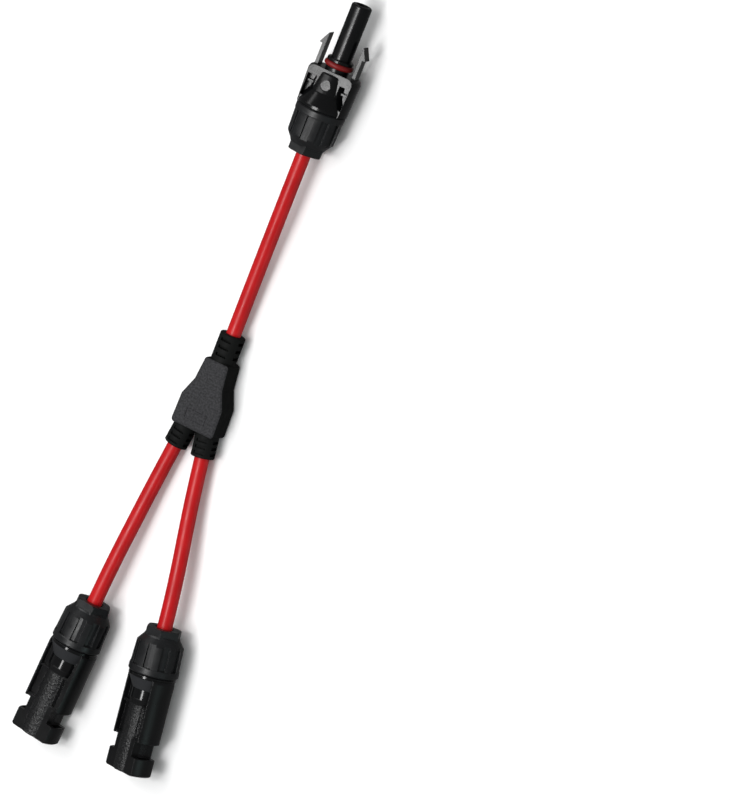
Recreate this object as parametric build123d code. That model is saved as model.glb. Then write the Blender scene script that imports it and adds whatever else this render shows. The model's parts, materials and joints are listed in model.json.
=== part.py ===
"""Y branch lead for solar panels: one plug, two receptacles and a moulded junction.

The lead lies flat on its nut rims, +Y towards the plug, +Z up, with its origin under
the middle of its bounding box. Units are millimetres.
"""
from build123d import *
import math
import os

os.makedirs("parts", exist_ok=True)

# ---- driving dimensions ------------------------------------------------------------
# cable: 4 mm2 solar cable, tinned strands in two coats
SHEATH_R = 2.95
INSULATION_R = 2.2
STRAND_R = 1.3
COAT_GAP = 0.02

# gland nut, measured along its axis from the cable end
NUT_LENGTH = 18.2
NUT_RIM_R = 9.9
NUT_RIB_R = 9.4
NUT_FLOOR_R = 8.75
NUT_HEX_AF = 12.8
NUT_HEX_LENGTH = 3.6
NUT_SHOULDER = 6.5
NUT_COLLAR = 15.3
NUT_CABLE_R = 3.4
NUT_BORE_R = 7.75
NUT_FLUTES = 10
NUT_FLUTE_DEG = 19
NUT_PITCH = 1.5
NUT_TURNS = 4

# threaded tail of every housing, under its nut
TAIL_START = 9.6
TAIL_R = 7.45
TAIL_MOUTH_R = 6.3
SEAL_BORE_R = 5.6
SEAL_START = 10.8
SEAL_END = 16.8
CLAW_START = 3.0
CLAW_END = 10.6
CLAW_R = 6.0
CLAW_GRIP_R = 3.25
CLAW_FINGERS = 8

# both housings: wings cut from a round by two flats
FLAT = 5.2
HEAD_FLAT = 4.8
FLOOR = 4.4
POCKET_FLOOR = 3.1
RIM_X = 7.6
HOUSING_START = NUT_LENGTH + 0.1

# plug
PLUG_FACE = 33.7
PLUG_WING_R = 10.65
PLUG_LENGTH = 61.0
NOSE_R = 4.05
NOSE_FLANGE_R = 5.25
NECK_R = 4.65
O_RING_AT = 36.3
O_RING_R = 4.75
O_RING_SECTION_R = 1.1
GROOVE_HALF = 1.2
FLANGE_END = O_RING_AT + 2.4
LATCH_X = 8.0
LATCH_THICK = 1.4
LATCH_WIDTH = 5.0
LATCH_REACH = 13.0
LATCH_CATCH = 8.3
LATCH_BARB = 1.1
LATCH_ROOT = 1.9
LATCH_SWING_DEG = 6

# receptacle
BODY_R = 9.8
BODY_START = 19.8
BODY_END = 44.6
HEAD_START = 50.4
RECEPTACLE_LENGTH = 57.6
HEAD_R = 9.8
NECK_HALF = 5.8
TUBE_R = 5.9
MOUTH_R = 5.35
MOUTH_DEPTH = 5.0
GUIDE_R = 4.2
GUIDE_START = 30.5
PIN_R = 2.0
PIN_COLLAR_R = 2.5
PIN_COLLAR_END = 31.0
PIN_TIP = 47.8

# junction, moulded over the splice
JUNCTION_LENGTH = 28.9
JUNCTION_HEIGHT = 11.6
TOP_RELIEF_R = 5.05
TOP_RELIEF_LENGTH = 10.9
LEG_RELIEF_R = 4.7
LEG_RELIEF_LENGTH = 8.8
LEG_X = 4.95
LEG_SPLAY_DEG = 7.9

# where the pieces lie: x, y of the nut's cable end, then heading and roll in degrees
PLUG_AT = (-2.78, 96.0)
PLUG_HEADING, PLUG_ROLL = -0.6, 6
LEFT_AT = (-17.08, -98.95)
LEFT_HEADING, LEFT_ROLL = 180 - 3.8, 9
RIGHT_AT = (13.97, -95.7)
RIGHT_HEADING, RIGHT_ROLL = 180 + 7.0, 28
JUNCTION_AT = (-4.83, -20.9)

# how far each nut's corners stand from the connector's wing line when it is tight
PLUG_CLOCK = -16
LEFT_CLOCK = -6
RIGHT_CLOCK = -16

UP = (Align.CENTER, Align.CENTER, Align.MIN)


# ---- helpers -----------------------------------------------------------------------
def rod(radius, start, end):
    """A round bar about the local Z axis from start to end."""
    return Pos(0, 0, start) * Cylinder(radius, end - start, align=UP)


def turned(*outline):
    """A solid turned about the local Z axis from its (radius, height) outline."""
    return revolve(Plane.XZ * make_face(Polyline(*outline, close=True)), Axis.Z)


def block(x, y, z):
    """A box from three (low, high) pairs."""
    centre = [(low + high) / 2 for low, high in (x, y, z)]
    return Pos(*centre) * Box(x[1] - x[0], y[1] - y[0], z[1] - z[0])


def around(count, solid, first=0.0):
    """Copies of a solid, evenly spaced about the local Z axis."""
    return [Rot(0, 0, first + 360 * i / count) * solid for i in range(count)]


def seat(at, heading, roll):
    """The place of a connector: local +Z runs from its cable to its mating end."""
    return Pos(at[0], at[1], NUT_RIM_R) * Rot(0, 0, heading) * Rot(0, roll, 0) * Rot(-90, 0, 0)


def save(name, solid):
    """Write one node, checked to be a single solid."""
    solids = solid.solids()
    if len(solids) != 1:
        raise ValueError(f"{name}: {len(solids)} solids")
    export_step(solids[0], f"parts/{name}.step")


# ---- gland: nut, claw and seal -----------------------------------------------------
def gland_nut():
    body = turned(
        (0, 2.9),
        (6.9, 2.9),
        (7.2, NUT_HEX_LENGTH),
        (NUT_RIB_R, NUT_SHOULDER),
        (9.72, NUT_COLLAR),
        (NUT_RIM_R - 0.05, NUT_COLLAR + 0.3),
        (NUT_RIM_R, NUT_LENGTH - 0.5),
        (NUT_RIM_R - 0.45, NUT_LENGTH),
        (0, NUT_LENGTH),
    )
    flute_sketch = make_face(
        Polyline(
            *[
                (radius * math.cos(math.radians(a)), radius * math.sin(math.radians(a)))
                for radius, a in (
                    (NUT_FLOOR_R, -NUT_FLUTE_DEG / 2),
                    (11.5, -NUT_FLUTE_DEG / 2 - 1),
                    (11.5, NUT_FLUTE_DEG / 2 + 1),
                    (NUT_FLOOR_R, NUT_FLUTE_DEG / 2),
                    (NUT_FLOOR_R + 0.1, 0),
                )
            ],
            close=True,
        )
    )
    flute = Pos(0, 0, NUT_HEX_LENGTH) * extrude(flute_sketch, NUT_COLLAR - NUT_HEX_LENGTH)
    body -= around(NUT_FLUTES, flute)
    across = RegularPolygon(NUT_HEX_AF / 2, 6, major_radius=False)
    hexagon = extrude(across, NUT_HEX_LENGTH)
    hexagon &= turned((0, 0), (6.8, 0), (7.5, 0.7), (7.5, NUT_HEX_LENGTH), (0, NUT_HEX_LENGTH))
    bore = turned(
        (0, -1),
        (NUT_CABLE_R + 0.5, -1),
        (NUT_CABLE_R + 0.5, 0),
        (NUT_CABLE_R, 0.5),
        (NUT_CABLE_R, 2.2),
        (3.8, 2.2),
        (6.65, 7.5),
        (NUT_BORE_R, 8.6),
        (NUT_BORE_R, NUT_LENGTH - 0.4),
        (NUT_BORE_R + 0.4, NUT_LENGTH),
        (NUT_BORE_R + 0.4, NUT_LENGTH + 1),
        (0, NUT_LENGTH + 1),
    )
    return body + hexagon - bore


def clamp_claw():
    claw = turned(
        (CLAW_GRIP_R, CLAW_START),
        (3.9, CLAW_START),
        (5.95, 7.4),
        (CLAW_R, 8.2),
        (CLAW_R, CLAW_END),
        (4.9, CLAW_END),
        (4.9, 8.0),
        (CLAW_GRIP_R, 4.9),
    )
    slot = block((2.0, 7.0), (-0.4, 0.4), (CLAW_START - 1, 8.4))
    return claw - around(CLAW_FINGERS, slot)


def cable_seal():
    """A soft ring with three lips that fills the gap between sheath and housing."""
    lip = (SEAL_END - SEAL_START) / 3
    outline = [(SHEATH_R, SEAL_START)]
    for i in range(3):
        base = SEAL_START + i * lip
        outline += [(5.15, base), (SEAL_BORE_R, base + 0.3 * lip), (SEAL_BORE_R, base + 0.7 * lip)]
        outline += [(5.15, base + lip - 0.01)]
    return turned(*outline, (SHEATH_R, SEAL_END))


def tail(cavity_r):
    """The threaded tail under the nut and the space that it leaves for seal and cable."""
    solid = turned(
        (0, TAIL_START),
        (TAIL_R - 0.5, TAIL_START),
        (TAIL_R, TAIL_START + 0.5),
        (TAIL_R, HOUSING_START + 0.5),
        (0, HOUSING_START + 0.5),
    )
    hollow = turned(
        (0, TAIL_START - 1),
        (TAIL_MOUTH_R, TAIL_START - 1),
        (TAIL_MOUTH_R, SEAL_START),
        (SEAL_BORE_R, SEAL_START),
        (SEAL_BORE_R, SEAL_END),
        (3.2, SEAL_END),
        (3.2, 20.6),
        (cavity_r, 21.0),
        (cavity_r, 22.0),
        (0, 22.0),
    )
    return solid, hollow


# ---- plug --------------------------------------------------------------------------
def plug_housing():
    solid, hollow = tail(3.1)
    wings = turned(
        (0, HOUSING_START),
        (10.15, HOUSING_START),
        (PLUG_WING_R, PLUG_FACE - 2.0),
        (PLUG_WING_R - 0.45, PLUG_FACE - 0.75),
        (PLUG_WING_R - 1.5, PLUG_FACE),
        (0, PLUG_FACE),
    )
    wings &= block((-12, 12), (-FLAT, FLAT), (HOUSING_START, PLUG_FACE))
    for side in (-1, 1):
        for face in (-1, 1):
            wings -= side_box(side, (4.9, 8.8), face, (2.2, 12), (21.0, PLUG_FACE - 3.7))
            wings += side_box(side, (4.9, 8.8), face, (2.0, 3.4), (26.6, 27.4))
    bell = turned(
        (0, HOUSING_START),
        (NUT_RIM_R - 0.3, HOUSING_START),
        (NUT_RIM_R, HOUSING_START + 0.3),
        (NUT_RIM_R, HOUSING_START + 1.4),
        (7.5, 24.6),
        (7.2, 25.0),
        (6.3, PLUG_FACE - 1.6),
        (6.0, PLUG_FACE - 1.2),
        (0, PLUG_FACE - 1.2),
    )
    nose = turned(
        (0, PLUG_FACE - 1),
        (NECK_R, PLUG_FACE - 1),
        (NECK_R, O_RING_AT - GROOVE_HALF),
        (O_RING_R - O_RING_SECTION_R - 0.05, O_RING_AT - GROOVE_HALF),
        (O_RING_R - O_RING_SECTION_R - 0.05, O_RING_AT + GROOVE_HALF),
        (NOSE_FLANGE_R, O_RING_AT + GROOVE_HALF),
        (NOSE_FLANGE_R, FLANGE_END - 0.3),
        (NOSE_FLANGE_R - 0.3, FLANGE_END),
        (NOSE_R, FLANGE_END),
        (NOSE_R, PLUG_LENGTH - 0.5),
        (NOSE_R - 0.5, PLUG_LENGTH),
        (0, PLUG_LENGTH),
    )
    for face in (-1, 1):
        bell -= Pos(0, face * (6.5 + 2), 28.2) * Rot(90, 0, 0) * Cylinder(2.1, 4)
    solid = solid + wings + bell + nose
    hollow += turned(
        (0, 21.5),
        (3.1, 21.5),
        (3.1, 30.6),
        (2.75, 30.6),
        (2.75, PLUG_LENGTH - 1.5),
        (2.3, PLUG_LENGTH - 1.5),
        (2.3, PLUG_LENGTH - 0.4),
        (2.7, PLUG_LENGTH),
        (2.7, PLUG_LENGTH + 1),
        (0, PLUG_LENGTH + 1),
    )
    solid -= hollow
    for side in (-1, 1):
        solid -= latch_pocket(side)
    return solid


def side_box(side, x, face, y, z):
    """A box on one wing (side) and one face of a housing."""
    return block(sorted((side * x[0], side * x[1])), sorted((face * y[0], face * y[1])), z)


def latch_pocket(side):
    """The room in the wing's front for the rounded root of a latch arm, a little larger."""
    room = 0.12
    half = LATCH_WIDTH / 2 + room
    root = PLUG_FACE - LATCH_ROOT
    inner = LATCH_X - LATCH_THICK / 2
    ball = Pos(side * LATCH_X, 0, root) * Rot(90, 0, 0) * Cylinder(1.15 + room, 2 * half)
    sweep_room = make_face(
        Polyline(
            (side * (inner - 0.12), root),
            (side * (inner - 0.45), PLUG_FACE + 1),
            (side * (LATCH_X + LATCH_THICK / 2 + room), PLUG_FACE + 1),
            (side * (LATCH_X + LATCH_THICK / 2 + room), root),
            close=True,
        )
    )
    return ball + extrude(Plane.XZ * sweep_room, half, both=True)


def plug_latch(side):
    """A latch arm with its barb outward; its rounded root turns in the wing's pocket."""
    root = PLUG_FACE - LATCH_ROOT
    inner, outer = LATCH_X - LATCH_THICK / 2, LATCH_X + LATCH_THICK / 2
    catch, tip = PLUG_FACE + LATCH_CATCH, PLUG_FACE + LATCH_REACH
    outline = make_face(
        Polyline(
            (side * inner, root),
            (side * inner, tip),
            (side * (inner + 0.25), tip),
            (side * (outer + LATCH_BARB), catch + 0.3),
            (side * (outer + LATCH_BARB), catch),
            (side * outer, catch),
            (side * outer, root),
            close=True,
        )
    )
    arm = extrude(Plane.XZ * outline, LATCH_WIDTH / 2, both=True)
    arm += Pos(side * LATCH_X, 0, root) * Rot(90, 0, 0) * Cylinder(1.15, LATCH_WIDTH)
    return arm


def o_ring():
    return Pos(0, 0, O_RING_AT) * Torus(O_RING_R, O_RING_SECTION_R)


def socket_contact():
    contact = turned(
        (STRAND_R + 0.1, 22.2),
        (2.5, 22.2),
        (2.5, 29.5),
        (2.95, 29.5),
        (2.95, 30.5),
        (2.6, 30.5),
        (2.6, PLUG_LENGTH - 2.2),
        (2.5, PLUG_LENGTH - 1.8),
        (2.2, PLUG_LENGTH - 1.8),
        (2.1, PLUG_LENGTH - 2.2),
        (2.1, 55.6),
        (2.4, 55.6),
        (2.4, 49.8),
        (2.1, 49.8),
        (2.1, 41.0),
        (0, 41.0),
        (0, 29.0),
        (STRAND_R + 0.1, 29.0),
    )
    return contact - Pos(0, 0, 28.0) * Rot(90, 0, 0) * Cylinder(0.5, 12)


def contact_spring():
    band = turned((2.08, 50.0), (2.36, 50.0), (2.36, 55.4), (2.08, 55.4))
    window = block((1.5, 3.0), (-0.35, 0.35), (50.8, 54.6))
    return band - around(8, window)


# ---- receptacle --------------------------------------------------------------------
def receptacle_housing():
    solid, hollow = tail(3.7)
    collar = turned(
        (0, HOUSING_START),
        (9.0, HOUSING_START),
        (9.3, HOUSING_START + 0.3),
        (9.3, BODY_START - 0.2),
        (9.1, BODY_START),
        (0, BODY_START),
    )
    wings = turned(
        (0, BODY_START - 0.5),
        (BODY_R - 0.3, BODY_START - 0.5),
        (BODY_R, BODY_START + 0.6),
        (BODY_R, BODY_END - 0.3),
        (BODY_R - 0.3, BODY_END),
        (0, BODY_END),
    )
    wings &= block((-12, 12), (-FLAT, FLAT), (BODY_START - 0.5, BODY_END))
    for face in (-1, 1):
        wings -= side_box(1, (-RIM_X, RIM_X), face, (FLOOR, 12), (BODY_START, BODY_END + 1))
        for side in (-1, 1):
            wings -= side_box(side, (4.3, RIM_X), face, (POCKET_FLOOR, 12), (21.5, 30.6))
            wings -= side_box(side, (4.3, RIM_X), face, (POCKET_FLOOR, 12), (31.6, BODY_END - 1.4))
    head = turned(
        (0, HEAD_START),
        (HEAD_R - 0.3, HEAD_START),
        (HEAD_R, HEAD_START + 0.3),
        (HEAD_R, RECEPTACLE_LENGTH - 0.6),
        (HEAD_R - 0.6, RECEPTACLE_LENGTH),
        (0, RECEPTACLE_LENGTH),
    )
    head &= block((-12, 12), (-HEAD_FLAT, HEAD_FLAT), (HEAD_START, RECEPTACLE_LENGTH))
    neck = block((-NECK_HALF, NECK_HALF), (-HEAD_FLAT, HEAD_FLAT), (BODY_END - 1, HEAD_START + 1))
    tube = turned(
        (0, BODY_START - 0.5),
        (9.1, BODY_START - 0.5),
        (9.1, BODY_START),
        (6.5, 24.6),
        (6.5, 28.4),
        (6.6, 28.5),
        (TUBE_R, 31.1),
        (TUBE_R, RECEPTACLE_LENGTH - 0.3),
        (TUBE_R - 0.3, RECEPTACLE_LENGTH),
        (0, RECEPTACLE_LENGTH),
    )
    solid = solid + collar + wings + head + neck + tube
    hollow += rod(3.7, 21.5, 29.3) + rod(PIN_COLLAR_R + 0.2, 29, GUIDE_START + 0.1)
    hollow += turned(
        (0, GUIDE_START),
        (GUIDE_R, GUIDE_START),
        (GUIDE_R, RECEPTACLE_LENGTH - MOUTH_DEPTH - 0.6),
        (MOUTH_R, RECEPTACLE_LENGTH - MOUTH_DEPTH),
        (MOUTH_R, RECEPTACLE_LENGTH - 0.3),
        (MOUTH_R + 0.3, RECEPTACLE_LENGTH),
        (MOUTH_R + 0.3, RECEPTACLE_LENGTH + 1),
        (0, RECEPTACLE_LENGTH + 1),
    )
    solid -= hollow
    for side in (-1, 1):
        solid -= side_box(side, (6.1, 8.85), 1, (-2.7, 2.7), (HEAD_START - 1, RECEPTACLE_LENGTH + 1))
    return solid


def pin_contact():
    contact = turned(
        (STRAND_R + 0.1, 21.3),
        (2.5, 21.3),
        (2.5, 28.1),
        (3.5, 28.1),
        (3.5, 29.2),
        (PIN_COLLAR_R, 29.2),
        (PIN_COLLAR_R, PIN_COLLAR_END - 0.3),
        (PIN_R, PIN_COLLAR_END),
        (PIN_R, PIN_TIP - 2.2),
        (1.6, PIN_TIP - 0.7),
        (0.9, PIN_TIP),
        (0, PIN_TIP),
        (0, 27.5),
        (STRAND_R + 0.1, 27.5),
    )
    return contact - Pos(0, 0, 26.6) * Rot(90, 0, 0) * Cylinder(0.5, 12)


def retention_clip():
    """A split spring ring behind the contact's shoulder."""
    clip = turned((2.55, 23.0), (2.9, 23.0), (3.5, 25.4), (3.15, 25.4))
    return clip - block((0, 5), (-0.5, 0.5), (22, 27)) - around(4, block((2, 5), (-0.3, 0.3), (24.2, 27)), 45)


# ---- junction ----------------------------------------------------------------------
def relief(radius, length):
    """A strain relief about local Z: three rings of four slots over a thin inner sleeve."""
    solid = turned((0, -1.5), (radius, -1.5), (radius, length - 0.3), (radius - 0.3, length), (0, length))
    row_gap = length / 3.6
    for row in range(3):
        height = length - row_gap * (row + 0.75)
        slot = block((SHEATH_R + 0.3, radius + 2), (-2.3, 2.3), (height - 0.6, height + 0.6))
        solid -= around(4, slot)
    return solid


def leg_place(side):
    """The line of one leg's cable: local +Z out of the junction, origin at its lower end face."""
    return Pos(side * LEG_X, 0, 0) * Rot(0, 0, 180 + side * LEG_SPLAY_DEG) * Rot(-90, 0, 0)


TOP_PLACE = Pos(0, JUNCTION_LENGTH, 0) * Rot(-90, 0, 0)
JUNCTION_PLACE = Pos(JUNCTION_AT[0], JUNCTION_AT[1], JUNCTION_HEIGHT / 2)


def splice_block():
    """The crimped block in the middle of the junction, wider where two strands enter it."""
    outline = make_face(Polyline((-5.0, 12.0), (5.0, 12.0), (2.6, 21.5), (-2.6, 21.5), close=True))
    return extrude(outline, 2.3, both=True)


def splice_ferrule():
    solid = splice_block()
    for side in (-1, 1):
        solid -= leg_place(side) * rod(STRAND_R + 0.02, -17.5, -10)
    return solid - TOP_PLACE * rod(STRAND_R + 0.02, -11.5, 5)


def junction_overmould():
    side = [(9.75, 0), (9.5, 11.8), (6.5, 19.1), (5.4, JUNCTION_LENGTH)]
    outline = side + [(-x, y) for x, y in reversed(side)]
    body = extrude(make_face(Polyline(*outline, close=True)), JUNCTION_HEIGHT / 2, both=True)
    body = fillet(body.edges().filter_by(Axis.Z), 1.5)
    flats = body.faces().sort_by(Axis.Z)
    body = fillet(flats[0].edges() + flats[-1].edges(), 1.4)
    body += TOP_PLACE * relief(TOP_RELIEF_R, TOP_RELIEF_LENGTH)
    for s in (-1, 1):
        body += leg_place(s) * relief(LEG_RELIEF_R, LEG_RELIEF_LENGTH)
    top = JUNCTION_HEIGHT / 2
    frame = block((-4.5, 4.5), (3.6, 7.8), (top - 0.2, top + 1))
    frame -= block((-4.2, 4.2), (3.9, 7.5), (top - 1, top + 2))
    body -= frame
    body -= splice_block()
    body -= TOP_PLACE * (rod(SHEATH_R, -5.0, 30) + rod(INSULATION_R, -7.0, 0) + rod(STRAND_R, -12, 0))
    for s in (-1, 1):
        hole = rod(SHEATH_R, -9.0, 30) + rod(INSULATION_R, -11.0, 0) + rod(STRAND_R, -16, 0)
        body -= leg_place(s) * hole
    return body


# ---- cables ------------------------------------------------------------------------
def point_of(place, height):
    """The point of a place's local Z axis at a height."""
    return (place * Pos(0, 0, height)).position


def cable(name, route):
    """One cable in three coats, from inside the junction to inside its connector."""
    runs = [(b - a).length for a, b in zip(route, route[1:])]
    radii = []
    for i in range(1, len(route) - 1):
        turn = math.radians((route[i] - route[i - 1]).get_angle(route[i + 1] - route[i]))
        radii.append(0.45 * min(runs[i - 1], runs[i]) / math.tan(turn / 2))
    print(name, "runs", [round(r, 1) for r in runs], "bend radii", [round(r, 1) for r in radii])
    out, into = (route[0] - route[1]).normalized(), (route[-1] - route[-2]).normalized()
    coats = (
        ("sheath", SHEATH_R, INSULATION_R + COAT_GAP, 0.0, 0.0),
        ("insulation", INSULATION_R - COAT_GAP, STRAND_R + COAT_GAP, 2.0, 0.0),
        ("conductor", STRAND_R - COAT_GAP, 0, 6.0, 6.0),
    )
    for coat, outer, inner, extra_out, extra_in in coats:
        points = [route[0] + out * extra_out, *route[1:-1], route[-1] + into * extra_in]
        path = FilletPolyline(*points, radius=radii)
        section = Circle(outer) - Circle(inner) if inner else Circle(outer)
        solid = sweep(Plane(origin=path @ 0, z_dir=path % 0) * section, path)
        ratio = solid.volume / (section.area * path.length)
        print(f"  {coat}: length {path.length:.1f}, volume / (section x length) {ratio:.4f}")
        save(f"{name}_{coat}", solid)


# ---- assembly ----------------------------------------------------------------------
PLUG = seat(PLUG_AT, PLUG_HEADING, PLUG_ROLL)
LEFT = seat(LEFT_AT, LEFT_HEADING, LEFT_ROLL)
RIGHT = seat(RIGHT_AT, RIGHT_HEADING, RIGHT_ROLL)

nut, claw, seal = gland_nut(), clamp_claw(), cable_seal()
for name, place, clock in (
    ("plug", PLUG, PLUG_CLOCK),
    ("left", LEFT, LEFT_CLOCK),
    ("right", RIGHT, RIGHT_CLOCK),
):
    save(f"{name}_nut", place * Rot(0, 0, clock) * nut)
    save(f"{name}_clamp_claw", place * claw)
    save(f"{name}_cable_seal", place * seal)

save("plug_housing", PLUG * plug_housing())
save("plug_latch_left", PLUG * plug_latch(-1))
save("plug_latch_right", PLUG * plug_latch(1))
save("plug_o_ring", PLUG * o_ring())
save("plug_socket_contact", PLUG * socket_contact())
save("plug_contact_spring", PLUG * contact_spring())

housing, pin, clip = receptacle_housing(), pin_contact(), retention_clip()
for name, place in (("left", LEFT), ("right", RIGHT)):
    save(f"{name}_housing", place * housing)
    save(f"{name}_pin_contact", place * pin)
    save(f"{name}_retention_clip", place * clip)

save("junction_overmould", JUNCTION_PLACE * junction_overmould())
save("splice_ferrule", JUNCTION_PLACE * splice_ferrule())

for name, leaves, first, near, connector, away, last in (
    ("plug_cable", TOP_PLACE, -5.0, 29.1, PLUG, -16.9, 21.0),
    ("left_cable", leg_place(-1), -9.0, 23.8, LEFT, -14.0, 20.0),
    ("right_cable", leg_place(1), -9.0, 23.8, RIGHT, -14.0, 20.0),
):
    junction_exit = JUNCTION_PLACE * leaves
    route = [
        point_of(junction_exit, first),
        point_of(junction_exit, near),
        point_of(connector, away),
        point_of(connector, last),
    ]
    cable(name, route)
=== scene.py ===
"""Looks for the solar Y branch lead: camera, cables, materials, moulding details, floor and light.

All positions are in metres in the row frame. The cable routes repeat the CAD tubes' routes.
The receptacle, junction and thread sizes repeat the CAD's too. Camera and lights were set one by
one.
"""
import json
import math

import bmesh
import bpy
from mathutils import Matrix, Vector


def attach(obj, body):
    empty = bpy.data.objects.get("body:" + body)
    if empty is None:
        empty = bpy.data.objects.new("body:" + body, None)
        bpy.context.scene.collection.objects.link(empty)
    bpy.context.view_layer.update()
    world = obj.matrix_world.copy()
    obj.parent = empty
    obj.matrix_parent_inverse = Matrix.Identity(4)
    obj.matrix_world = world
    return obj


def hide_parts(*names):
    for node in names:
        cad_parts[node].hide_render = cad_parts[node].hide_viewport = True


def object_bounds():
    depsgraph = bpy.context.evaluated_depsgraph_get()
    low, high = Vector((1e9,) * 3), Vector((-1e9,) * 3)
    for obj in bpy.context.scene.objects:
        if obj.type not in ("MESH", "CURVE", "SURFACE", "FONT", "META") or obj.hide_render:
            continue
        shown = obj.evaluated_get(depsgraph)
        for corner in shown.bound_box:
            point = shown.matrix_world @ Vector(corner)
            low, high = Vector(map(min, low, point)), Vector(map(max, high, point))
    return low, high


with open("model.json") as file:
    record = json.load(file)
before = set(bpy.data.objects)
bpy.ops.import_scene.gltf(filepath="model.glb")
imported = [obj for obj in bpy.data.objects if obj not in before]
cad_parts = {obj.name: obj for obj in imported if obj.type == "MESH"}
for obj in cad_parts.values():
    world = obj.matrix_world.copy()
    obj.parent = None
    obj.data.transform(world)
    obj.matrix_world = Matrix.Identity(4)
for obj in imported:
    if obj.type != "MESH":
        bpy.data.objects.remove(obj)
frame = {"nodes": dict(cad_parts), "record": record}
CAD_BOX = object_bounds()
MM = 0.001
EDGE_R = 0.2 * MM


# ---- camera ------------------------------------------------------------------------
def unit(x, y, z):
    return Vector((x, y, z)).normalized()


RIGHT_AXIS = unit(0.927, 0.0, -0.375)
UP_AXIS = unit(-0.078, 0.978, -0.193)
LEAD_LEAN = math.radians(21.2)
LOOK_AT = Vector((0.05587, 0.0187, 0.0058))
VIEW_HEIGHT = 0.3042
LENS, SENSOR = 500.0, 36.0


def add_camera():
    """A long lens above the floor, tilted to the right and rolled so that the lead leans."""
    back = RIGHT_AXIS.cross(UP_AXIS).normalized()
    up = back.cross(RIGHT_AXIS)
    side = RIGHT_AXIS * math.cos(LEAD_LEAN) + up * math.sin(LEAD_LEAN)
    top = up * math.cos(LEAD_LEAN) - RIGHT_AXIS * math.sin(LEAD_LEAN)
    data = bpy.data.cameras.new("camera")
    data.lens, data.sensor_width = LENS, SENSOR
    camera = bpy.data.objects.new("camera", data)
    bpy.context.collection.objects.link(camera)
    distance = VIEW_HEIGHT * LENS / SENSOR
    turned = Matrix((side, top, back)).transposed().to_4x4()
    camera.matrix_world = Matrix.Translation(LOOK_AT + back * distance) @ turned
    data.clip_end = 20.0
    bpy.context.scene.camera = camera
    bpy.context.scene.view_settings.view_transform = "Standard"


add_camera()


# ---- cables ------------------------------------------------------------------------
CABLE_R = 2.95 * MM
ARC_STEPS = 32
ARC_REACH = 0.45
CABLES = {
    "plug_cable": {
        "route": [
            (-0.00483, 0.00300, 0.00580),
            (-0.00483, 0.03710, 0.00580),
            (-0.00296, 0.07910, 0.00990),
            (-0.00256, 0.11700, 0.00990),
        ],
        "exit": (-0.00483, 0.01890, 0.00580),
        "length": 0.114,
    },
    "left_cable": {
        "route": [
            (-0.00854, -0.01199, 0.00580),
            (-0.01305, -0.04447, 0.00580),
            (-0.01615, -0.08498, 0.00990),
            (-0.01841, -0.11891, 0.00990),
        ],
        "exit": (-0.01099, -0.02962, 0.00580),
        "length": 0.108,
    },
    "right_cable": {
        "route": [
            (-0.00112, -0.01199, 0.00580),
            (0.00339, -0.04447, 0.00580),
            (0.01226, -0.08180, 0.00990),
            (0.01641, -0.11555, 0.00990),
        ],
        "exit": (0.00133, -0.02962, 0.00580),
        "length": 0.105,
    },
}


def rounded(route):
    """The line that the CAD tube follows: straight runs joined by arcs tangent to both."""
    points = [Vector(point) for point in route]
    line = [points[0]]
    for before, corner, after in zip(points, points[1:], points[2:]):
        back, ahead = before - corner, after - corner
        reach = ARC_REACH * min(back.length, ahead.length)
        back.normalize()
        ahead.normalize()
        turn = math.pi - back.angle(ahead)
        radius = reach / math.tan(turn / 2)
        middle = corner + (back + ahead).normalized() * (radius / math.cos(turn / 2))
        first = corner + back * reach - middle
        last = corner + ahead * reach - middle
        for i in range(ARC_STEPS + 1):
            angle = turn * i / ARC_STEPS
            spoke = first * math.sin(turn - angle) + last * math.sin(angle)
            line.append(middle + spoke / math.sin(turn))
    line.append(points[-1])
    return line


def bar_along(name, points, radius, resolution):
    """A round bar, as a mesh, along a line of points."""
    data = bpy.data.curves.new(name, "CURVE")
    data.dimensions = "3D"
    data.bevel_depth = radius
    data.bevel_resolution = resolution
    data.use_fill_caps = True
    spline = data.splines.new("POLY")
    spline.points.add(len(points) - 1)
    for control, place in zip(spline.points, points):
        control.co = (*place, 1.0)
    curve = bpy.data.objects.new("line", data)
    bpy.context.collection.objects.link(curve)
    shown = curve.evaluated_get(bpy.context.evaluated_depsgraph_get())
    mesh = bpy.data.meshes.new_from_object(shown)
    bpy.data.objects.remove(curve)
    bpy.data.curves.remove(data)
    bar = bpy.data.objects.new(name, mesh)
    bpy.context.collection.objects.link(bar)
    return bar


def add_cables():
    made = {}
    for name, facts in CABLES.items():
        line = rounded(facts["route"])
        cable = bar_along(f"{name}_outer", line, CABLE_R, 12)
        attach(cable, "root")
        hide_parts(f"{name}_sheath", f"{name}_insulation", f"{name}_conductor")
        made[name] = cable
    return made


cables = add_cables()


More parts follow.
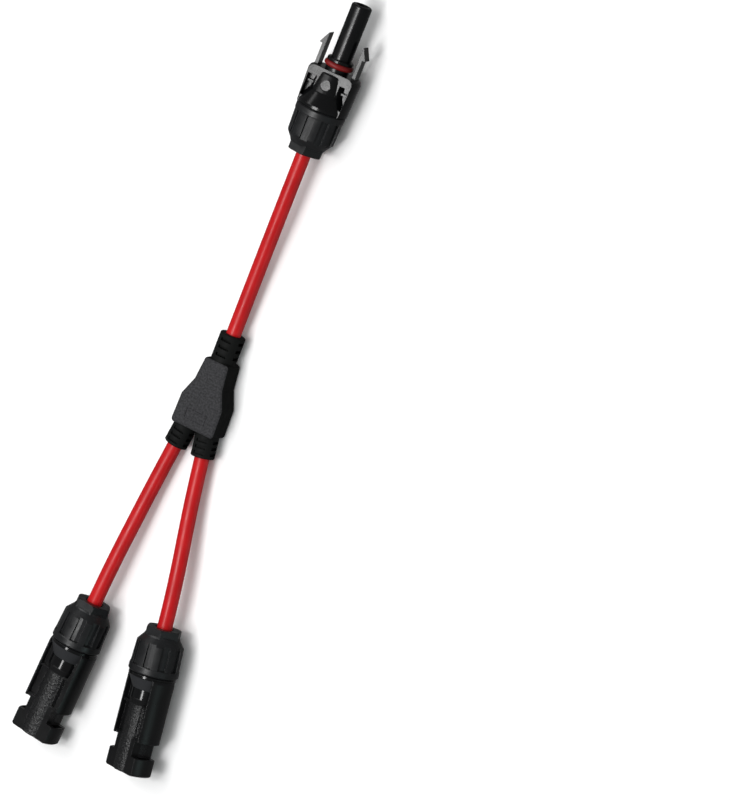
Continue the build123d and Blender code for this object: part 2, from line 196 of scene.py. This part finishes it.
# ---- material helpers --------------------------------------------------------------
class Shader:
    """A material whose nodes are added one call at a time."""

    def __init__(self, name, color, roughness, **sockets):
        self.material = bpy.data.materials.new(name)
        self.material.use_nodes = True
        self.tree = self.material.node_tree
        self.surface = self.tree.nodes["Principled BSDF"]
        self.surface.inputs["Base Color"].default_value = (*color, 1)
        self.surface.inputs["Roughness"].default_value = roughness
        for socket, value in sockets.items():
            self.surface.inputs[socket.replace("_", " ")].default_value = value
        self.place = self.add("ShaderNodeTexCoord").outputs["Object"]

    def add(self, kind, **settings):
        node = self.tree.nodes.new(kind)
        for key, value in settings.items():
            setattr(node, key, value)
        return node

    def link(self, source, target):
        if hasattr(source, "node"):
            self.tree.links.new(source, target)
        else:
            target.default_value = source

    def math(self, operation, a, b=0.0, c=0.0, clamp=False):
        node = self.add("ShaderNodeMath", operation=operation, use_clamp=clamp)
        for value, socket in zip((a, b, c), node.inputs):
            self.link(value, socket)
        return node.outputs[0]

    def noise(self, scale, detail=3.0, stretch=(1, 1, 1), roughness=0.5):
        mapping = self.add("ShaderNodeMapping")
        mapping.inputs["Scale"].default_value = stretch
        self.link(self.place, mapping.inputs["Vector"])
        node = self.add("ShaderNodeTexNoise")
        node.inputs["Scale"].default_value = scale
        node.inputs["Detail"].default_value = detail
        node.inputs["Roughness"].default_value = roughness
        self.link(mapping.outputs[0], node.inputs["Vector"])
        return node.outputs["Fac"]

    def span(self, value, low, high):
        """A 0 to 1 value turned into low to high."""
        node = self.add("ShaderNodeMapRange")
        self.link(value, node.inputs["Value"])
        node.inputs["From Min"].default_value = 0.3
        node.inputs["From Max"].default_value = 0.7
        node.inputs["To Min"].default_value = low
        node.inputs["To Max"].default_value = high
        return node.outputs["Result"]

    def blend(self, amount, low, high):
        node = self.add("ShaderNodeMix", data_type="RGBA")
        self.link(amount, node.inputs["Factor"])
        self.link(low if hasattr(low, "node") else (*low, 1), node.inputs[6])
        self.link(high if hasattr(high, "node") else (*high, 1), node.inputs[7])
        return node.outputs[2]

    def color(self, value):
        self.link(value, self.surface.inputs["Base Color"])

    def rough(self, value):
        self.link(value, self.surface.inputs["Roughness"])

    def along(self, start, axis):
        """Millimetres along an axis, and away from it."""
        offset = self.add("ShaderNodeVectorMath", operation="SUBTRACT")
        self.link(self.place, offset.inputs[0])
        offset.inputs[1].default_value = start
        height = self.add("ShaderNodeVectorMath", operation="DOT_PRODUCT")
        self.link(offset.outputs[0], height.inputs[0])
        height.inputs[1].default_value = axis
        across = self.add("ShaderNodeVectorMath", operation="CROSS_PRODUCT")
        self.link(offset.outputs[0], across.inputs[0])
        across.inputs[1].default_value = axis
        radius = self.add("ShaderNodeVectorMath", operation="LENGTH")
        self.link(across.outputs[0], radius.inputs[0])
        return (self.math("MULTIPLY", height.outputs["Value"], 1000.0),
                self.math("MULTIPLY", radius.outputs["Value"], 1000.0))

    def between(self, value, low, high):
        """1 between two limits, 0 outside."""
        above = self.math("GREATER_THAN", value, low)
        return self.math("MULTIPLY", above, self.math("LESS_THAN", value, high))

    def mixed(self, amount, low, high):
        """A plain number that runs from low to high."""
        node = self.add("ShaderNodeMix", data_type="FLOAT")
        self.link(amount, node.inputs[0])
        self.link(low, node.inputs[2])
        self.link(high, node.inputs[3])
        return node.outputs[0]

    def soft_edges(self, radius):
        """Moulded edges are never knife sharp: this rounds how they catch the light."""
        node = self.add("ShaderNodeBevel", samples=4)
        node.inputs["Radius"].default_value = radius
        self.link(node.outputs["Normal"], self.surface.inputs["Normal"])

    def bump(self, height, distance, strength=1.0):
        """Adds to whatever bump the surface already has."""
        node = self.add("ShaderNodeBump")
        node.inputs["Strength"].default_value = strength
        node.inputs["Distance"].default_value = distance
        self.link(height, node.inputs["Height"])
        normal = self.surface.inputs["Normal"]
        if normal.is_linked:
            self.link(normal.links[0].from_socket, node.inputs["Normal"])
        self.link(node.outputs["Normal"], normal)


def connector_axis(name):
    """Where a connector starts, at its nut's cable end, and the way it points from there."""
    for joint in frame["record"]["behaviour"]["joints"]:
        if joint["name"] == f"{name}_nut_turn":
            return Vector(joint["pos_m"]), -Vector(joint["axis"]).normalized()


def moulded_black(name, dark, rough, grain=0.00001):
    """Moulded nylon: near black, satin, with a fine grain and slow changes of gloss."""
    m = Shader(name, dark, rough, Specular_IOR_Level=0.32)
    m.soft_edges(EDGE_R)
    m.rough(m.span(m.noise(140, 2), rough - 0.04, rough + 0.06))
    m.color(m.blend(m.noise(60, 2), dark, tuple(1.5 * c for c in dark)))
    m.bump(m.noise(2600, 3), grain, 0.6)
    return m.material


def nut_black():
    """Nylon a shade lighter than the housings, with a fine spark-eroded surface."""
    m = Shader("nut_black", (0.012, 0.0125, 0.0135), 0.4, Specular_IOR_Level=0.38)
    m.soft_edges(EDGE_R)
    m.color(m.blend(m.noise(220, 2), (0.004, 0.0042, 0.0046), (0.011, 0.0116, 0.0126)))
    m.rough(m.span(m.noise(400, 3), 0.3, 0.46))
    m.bump(m.noise(1700, 3), 0.00003, 0.7)
    return m.material


# Where a receptacle's finishes start and end, in millimetres from its cable end.
COLLAR = (18.2, 19.8)
BELL = (19.85, 24.55)
STEP = (24.6, 28.5)
TUBE = (28.5, 60.0)
# The radius that each finish lies at, so that the wings beside it keep theirs.
STEP_RADII = (6.3, 6.65)
TUBE_RADII = (5.0, 6.02)
BELL_TAPER, BELL_APEX, BELL_SLACK = 0.5417, 19.826, 0.25


def receptacle_black(name):
    """One moulding with three finishes along it: matte bell, polished steps, frosted tube."""
    start, along = connector_axis(name)
    m = Shader(f"{name}_housing_black", (0.010, 0.0105, 0.0115), 0.3, Specular_IOR_Level=0.42)
    m.soft_edges(EDGE_R)
    height, radius = m.along(start, along)
    cone = m.math("MULTIPLY_ADD", height, BELL_TAPER, -BELL_APEX)
    on_cone = m.between(m.math("ADD", radius, cone), -BELL_SLACK, BELL_SLACK)
    bell = m.math("MULTIPLY", m.between(height, *BELL), on_cone)
    collar = m.between(height, *COLLAR)
    step = m.math("MULTIPLY", m.between(height, *STEP), m.between(radius, *STEP_RADII))
    polished = m.math("ADD", collar, step, clamp=True)
    tube = m.math("MULTIPLY", m.between(height, *TUBE), m.between(radius, *TUBE_RADII))
    dots = m.noise(1300, 3, roughness=0.6)
    rough = m.mixed(bell, m.span(m.noise(140, 2), 0.26, 0.36), 0.5)
    rough = m.mixed(polished, rough, 0.14)
    m.rough(m.mixed(tube, rough, m.span(dots, 0.18, 0.5)))
    tint = m.blend(bell, (0.003, 0.0031, 0.0034), (0.020, 0.021, 0.023))
    m.color(m.blend(tube, tint, (0.006, 0.0062, 0.0067)))
    m.bump(m.math("MULTIPLY", m.noise(1100, 3, roughness=0.6), tube), 0.0004, 1.0)
    m.bump(m.noise(2600, 3), 0.00001, 0.6)
    return m.material


# The middle of the junction's thickness, in metres, and how far off it the flats begin, in mm.
JUNCTION_MIDDLE = 5.8 * MM
FLAT_FROM = 5.2


def junction_charcoal():
    """Soft moulding: coarsely textured on its two flats and finer elsewhere; painted shade makes
    the sides darker than the paler flats.
    """
    m = Shader("junction_charcoal", (0.04, 0.04, 0.042), 0.62, Specular_IOR_Level=0.05)
    m.soft_edges(EDGE_R)
    height, _ = m.along((0, 0, JUNCTION_MIDDLE), (0, 0, 1))
    flat_grain_and_side_shade = m.math("GREATER_THAN", m.math("ABSOLUTE", height), FLAT_FROM)
    grain = m.blend(m.span(m.noise(1300, 3), 0, 1), (0.020, 0.020, 0.021), (0.044, 0.044, 0.047))
    # Painted shade: the sides get a near-black colour, the flats a paler grained tone.
    m.color(m.blend(flat_grain_and_side_shade, (0.007, 0.0074, 0.0072), grain))
    m.rough(m.span(m.noise(300, 2), 0.5, 0.66))
    m.bump(m.math("MULTIPLY", m.noise(1500, 4, roughness=0.6), flat_grain_and_side_shade), 0.00008, 0.8)
    return m.material


def cable_red():
    """Cross-linked sheath: saturated red, satin, with faint marks along the extrusion."""
    m = Shader("cable_red", (0.48, 0.007, 0.009), 0.34, Specular_IOR_Level=0.28)
    m.color(m.blend(m.span(m.noise(90, 2), 0, 1), (0.38, 0.005, 0.007), (0.46, 0.008, 0.010)))
    m.rough(m.span(m.noise(200, 3), 0.28, 0.42))
    m.bump(m.noise(900, 2, stretch=(1, 0.08, 1)), 0.00001, 0.5)
    return m.material


def o_ring_red():
    m = Shader("o_ring_red", (0.15, 0.008, 0.008), 0.4, Specular_IOR_Level=0.3)
    m.color(m.blend(m.noise(120, 2), (0.13, 0.007, 0.007), (0.18, 0.010, 0.010)))
    m.rough(m.span(m.noise(700, 2), 0.3, 0.5))
    m.bump(m.noise(2200, 2), 0.00001, 0.4)
    return m.material


def rubber_dark():
    m = Shader("seal_rubber", (0.05, 0.05, 0.052), 0.6)
    m.color(m.blend(m.noise(400, 2), (0.04, 0.04, 0.042), (0.07, 0.07, 0.07)))
    m.bump(m.noise(1800, 2), 0.00002, 0.5)
    return m.material


def copper_tinned():
    m = Shader("copper_tinned", (0.72, 0.70, 0.67), 0.28, Metallic=1.0)
    m.color(m.blend(m.noise(250, 3), (0.66, 0.64, 0.60), (0.80, 0.79, 0.77)))
    m.rough(m.span(m.noise(900, 3), 0.2, 0.4))
    m.bump(m.noise(2500, 2), 0.000008, 0.4)
    return m.material


def steel_spring():
    m = Shader("steel_spring", (0.6, 0.6, 0.61), 0.25, Metallic=1.0)
    m.rough(m.span(m.noise(700, 2, stretch=(1, 0.1, 1)), 0.18, 0.34))
    m.bump(m.noise(1500, 2), 0.000006, 0.4)
    return m.material


MATERIALS = {
    "housing_black": moulded_black("housing_black", (0.003, 0.0031, 0.0034), 0.2),
    "nut_black": nut_black(),
    "claw_nylon": moulded_black("claw_nylon", (0.05, 0.05, 0.052), 0.42),
    "junction_charcoal": junction_charcoal(),
    "cable_red": cable_red(),
    "o_ring_red": o_ring_red(),
    "seal_rubber": rubber_dark(),
    "copper_tinned": copper_tinned(),
    "steel_spring": steel_spring(),
}


def finish_node(node, slot):
    """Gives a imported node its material."""
    mesh = frame["nodes"][node].data
    mesh.materials.clear()
    mesh.materials.append(MATERIALS[slot])


for part in frame["record"]["subparts"]:
    if part["material_slot"] in MATERIALS:
        finish_node(part["node"], part["material_slot"])
for name in ("left", "right"):
    mesh = frame["nodes"][f"{name}_housing"].data
    mesh.materials.clear()
    mesh.materials.append(receptacle_black(name))
for cable in cables.values():
    cable.data.materials.clear()
    cable.data.materials.append(MATERIALS["cable_red"])


# ---- detail that the CAD leaves out ------------------------------------------------
THREAD_START, THREAD_PITCH, THREAD_TURNS = 10.7, 1.5, 4
THREAD_R, THREAD_HALF = 7.42, 0.2
THREAD_STEPS = 32


def add_thread(name):
    """The screw thread on a housing's tail, in the gap under its nut."""
    start, along = connector_axis(name)
    side = along.cross(Vector((0, 0, 1))).normalized()
    lift = side.cross(along)
    points = []
    for i in range(THREAD_STEPS * THREAD_TURNS + 1):
        turned = i / THREAD_STEPS
        angle = 2 * math.pi * turned
        spoke = side * math.cos(angle) + lift * math.sin(angle)
        height = THREAD_START + THREAD_PITCH * turned
        points.append(start + (along * height + spoke * THREAD_R) * MM)
    thread = bar_along(f"{name}_thread", points, THREAD_HALF * MM, 1)
    thread.data.materials.append(MATERIALS["housing_black"])
    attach(thread, "root")


for name in ("plug", "left", "right"):
    add_thread(name)


# ---- floor and light ---------------------------------------------------------------
def add_floor():
    mesh = bpy.data.meshes.new("floor")
    form = bmesh.new()
    bmesh.ops.create_grid(form, x_segments=1, y_segments=1, size=3.0)
    form.to_mesh(mesh)
    form.free()
    floor = bpy.data.objects.new("floor", mesh)
    bpy.context.collection.objects.link(floor)
    floor.location.z = CAD_BOX[0][2] - 0.0001
    m = Shader("floor", (0.9, 0.9, 0.9), 0.5)
    m.color(m.blend(m.noise(3, 2), (0.88, 0.88, 0.88), (0.92, 0.92, 0.92)))
    mesh.materials.append(m.material)
    # The floor is left out of reflections, or it turns the black sides grey.
    floor.visible_glossy = False


def add_light(name, place, size, power, color=(1, 1, 1), mirrored=True):
    """A panel aimed at the lead. One that is not mirrored adds no highlight to glossy parts."""
    data = bpy.data.lights.new(name, "AREA")
    data.shape = "RECTANGLE"
    data.size, data.size_y = size
    data.energy, data.color = power, color
    light = bpy.data.objects.new(name, data)
    bpy.context.collection.objects.link(light)
    light.location = place
    light.rotation_mode = "QUATERNION"
    light.rotation_quaternion = (Vector(place) - LOOK_AT).to_track_quat("Z", "Y")
    light.visible_glossy = mirrored


def add_world(strength):
    world = bpy.data.worlds.new("studio")
    bpy.context.scene.world = world
    world.use_nodes = True
    background = world.node_tree.nodes["Background"]
    background.inputs["Color"].default_value = (1, 1, 1, 1)
    background.inputs["Strength"].default_value = strength


add_floor()
# Name, place, size and power in watts.
add_light("key", (-0.45, 0.30, 0.70), (0.50, 0.80), 3.4)
add_light("top", (0.10, 0.05, 1.00), (1.10, 1.10), 5.0, mirrored=False)
add_light("strip", (-0.05, -0.17, 0.88), (0.10, 0.55), 3.2)
add_light("glare", (-0.17, -0.06, 0.88), (0.08, 0.30), 1.5)
add_light("rim", (0.70, -0.30, 0.25), (0.06, 0.30), 0.25, color=(0.72, 1.0, 0.97))
add_world(0.14)
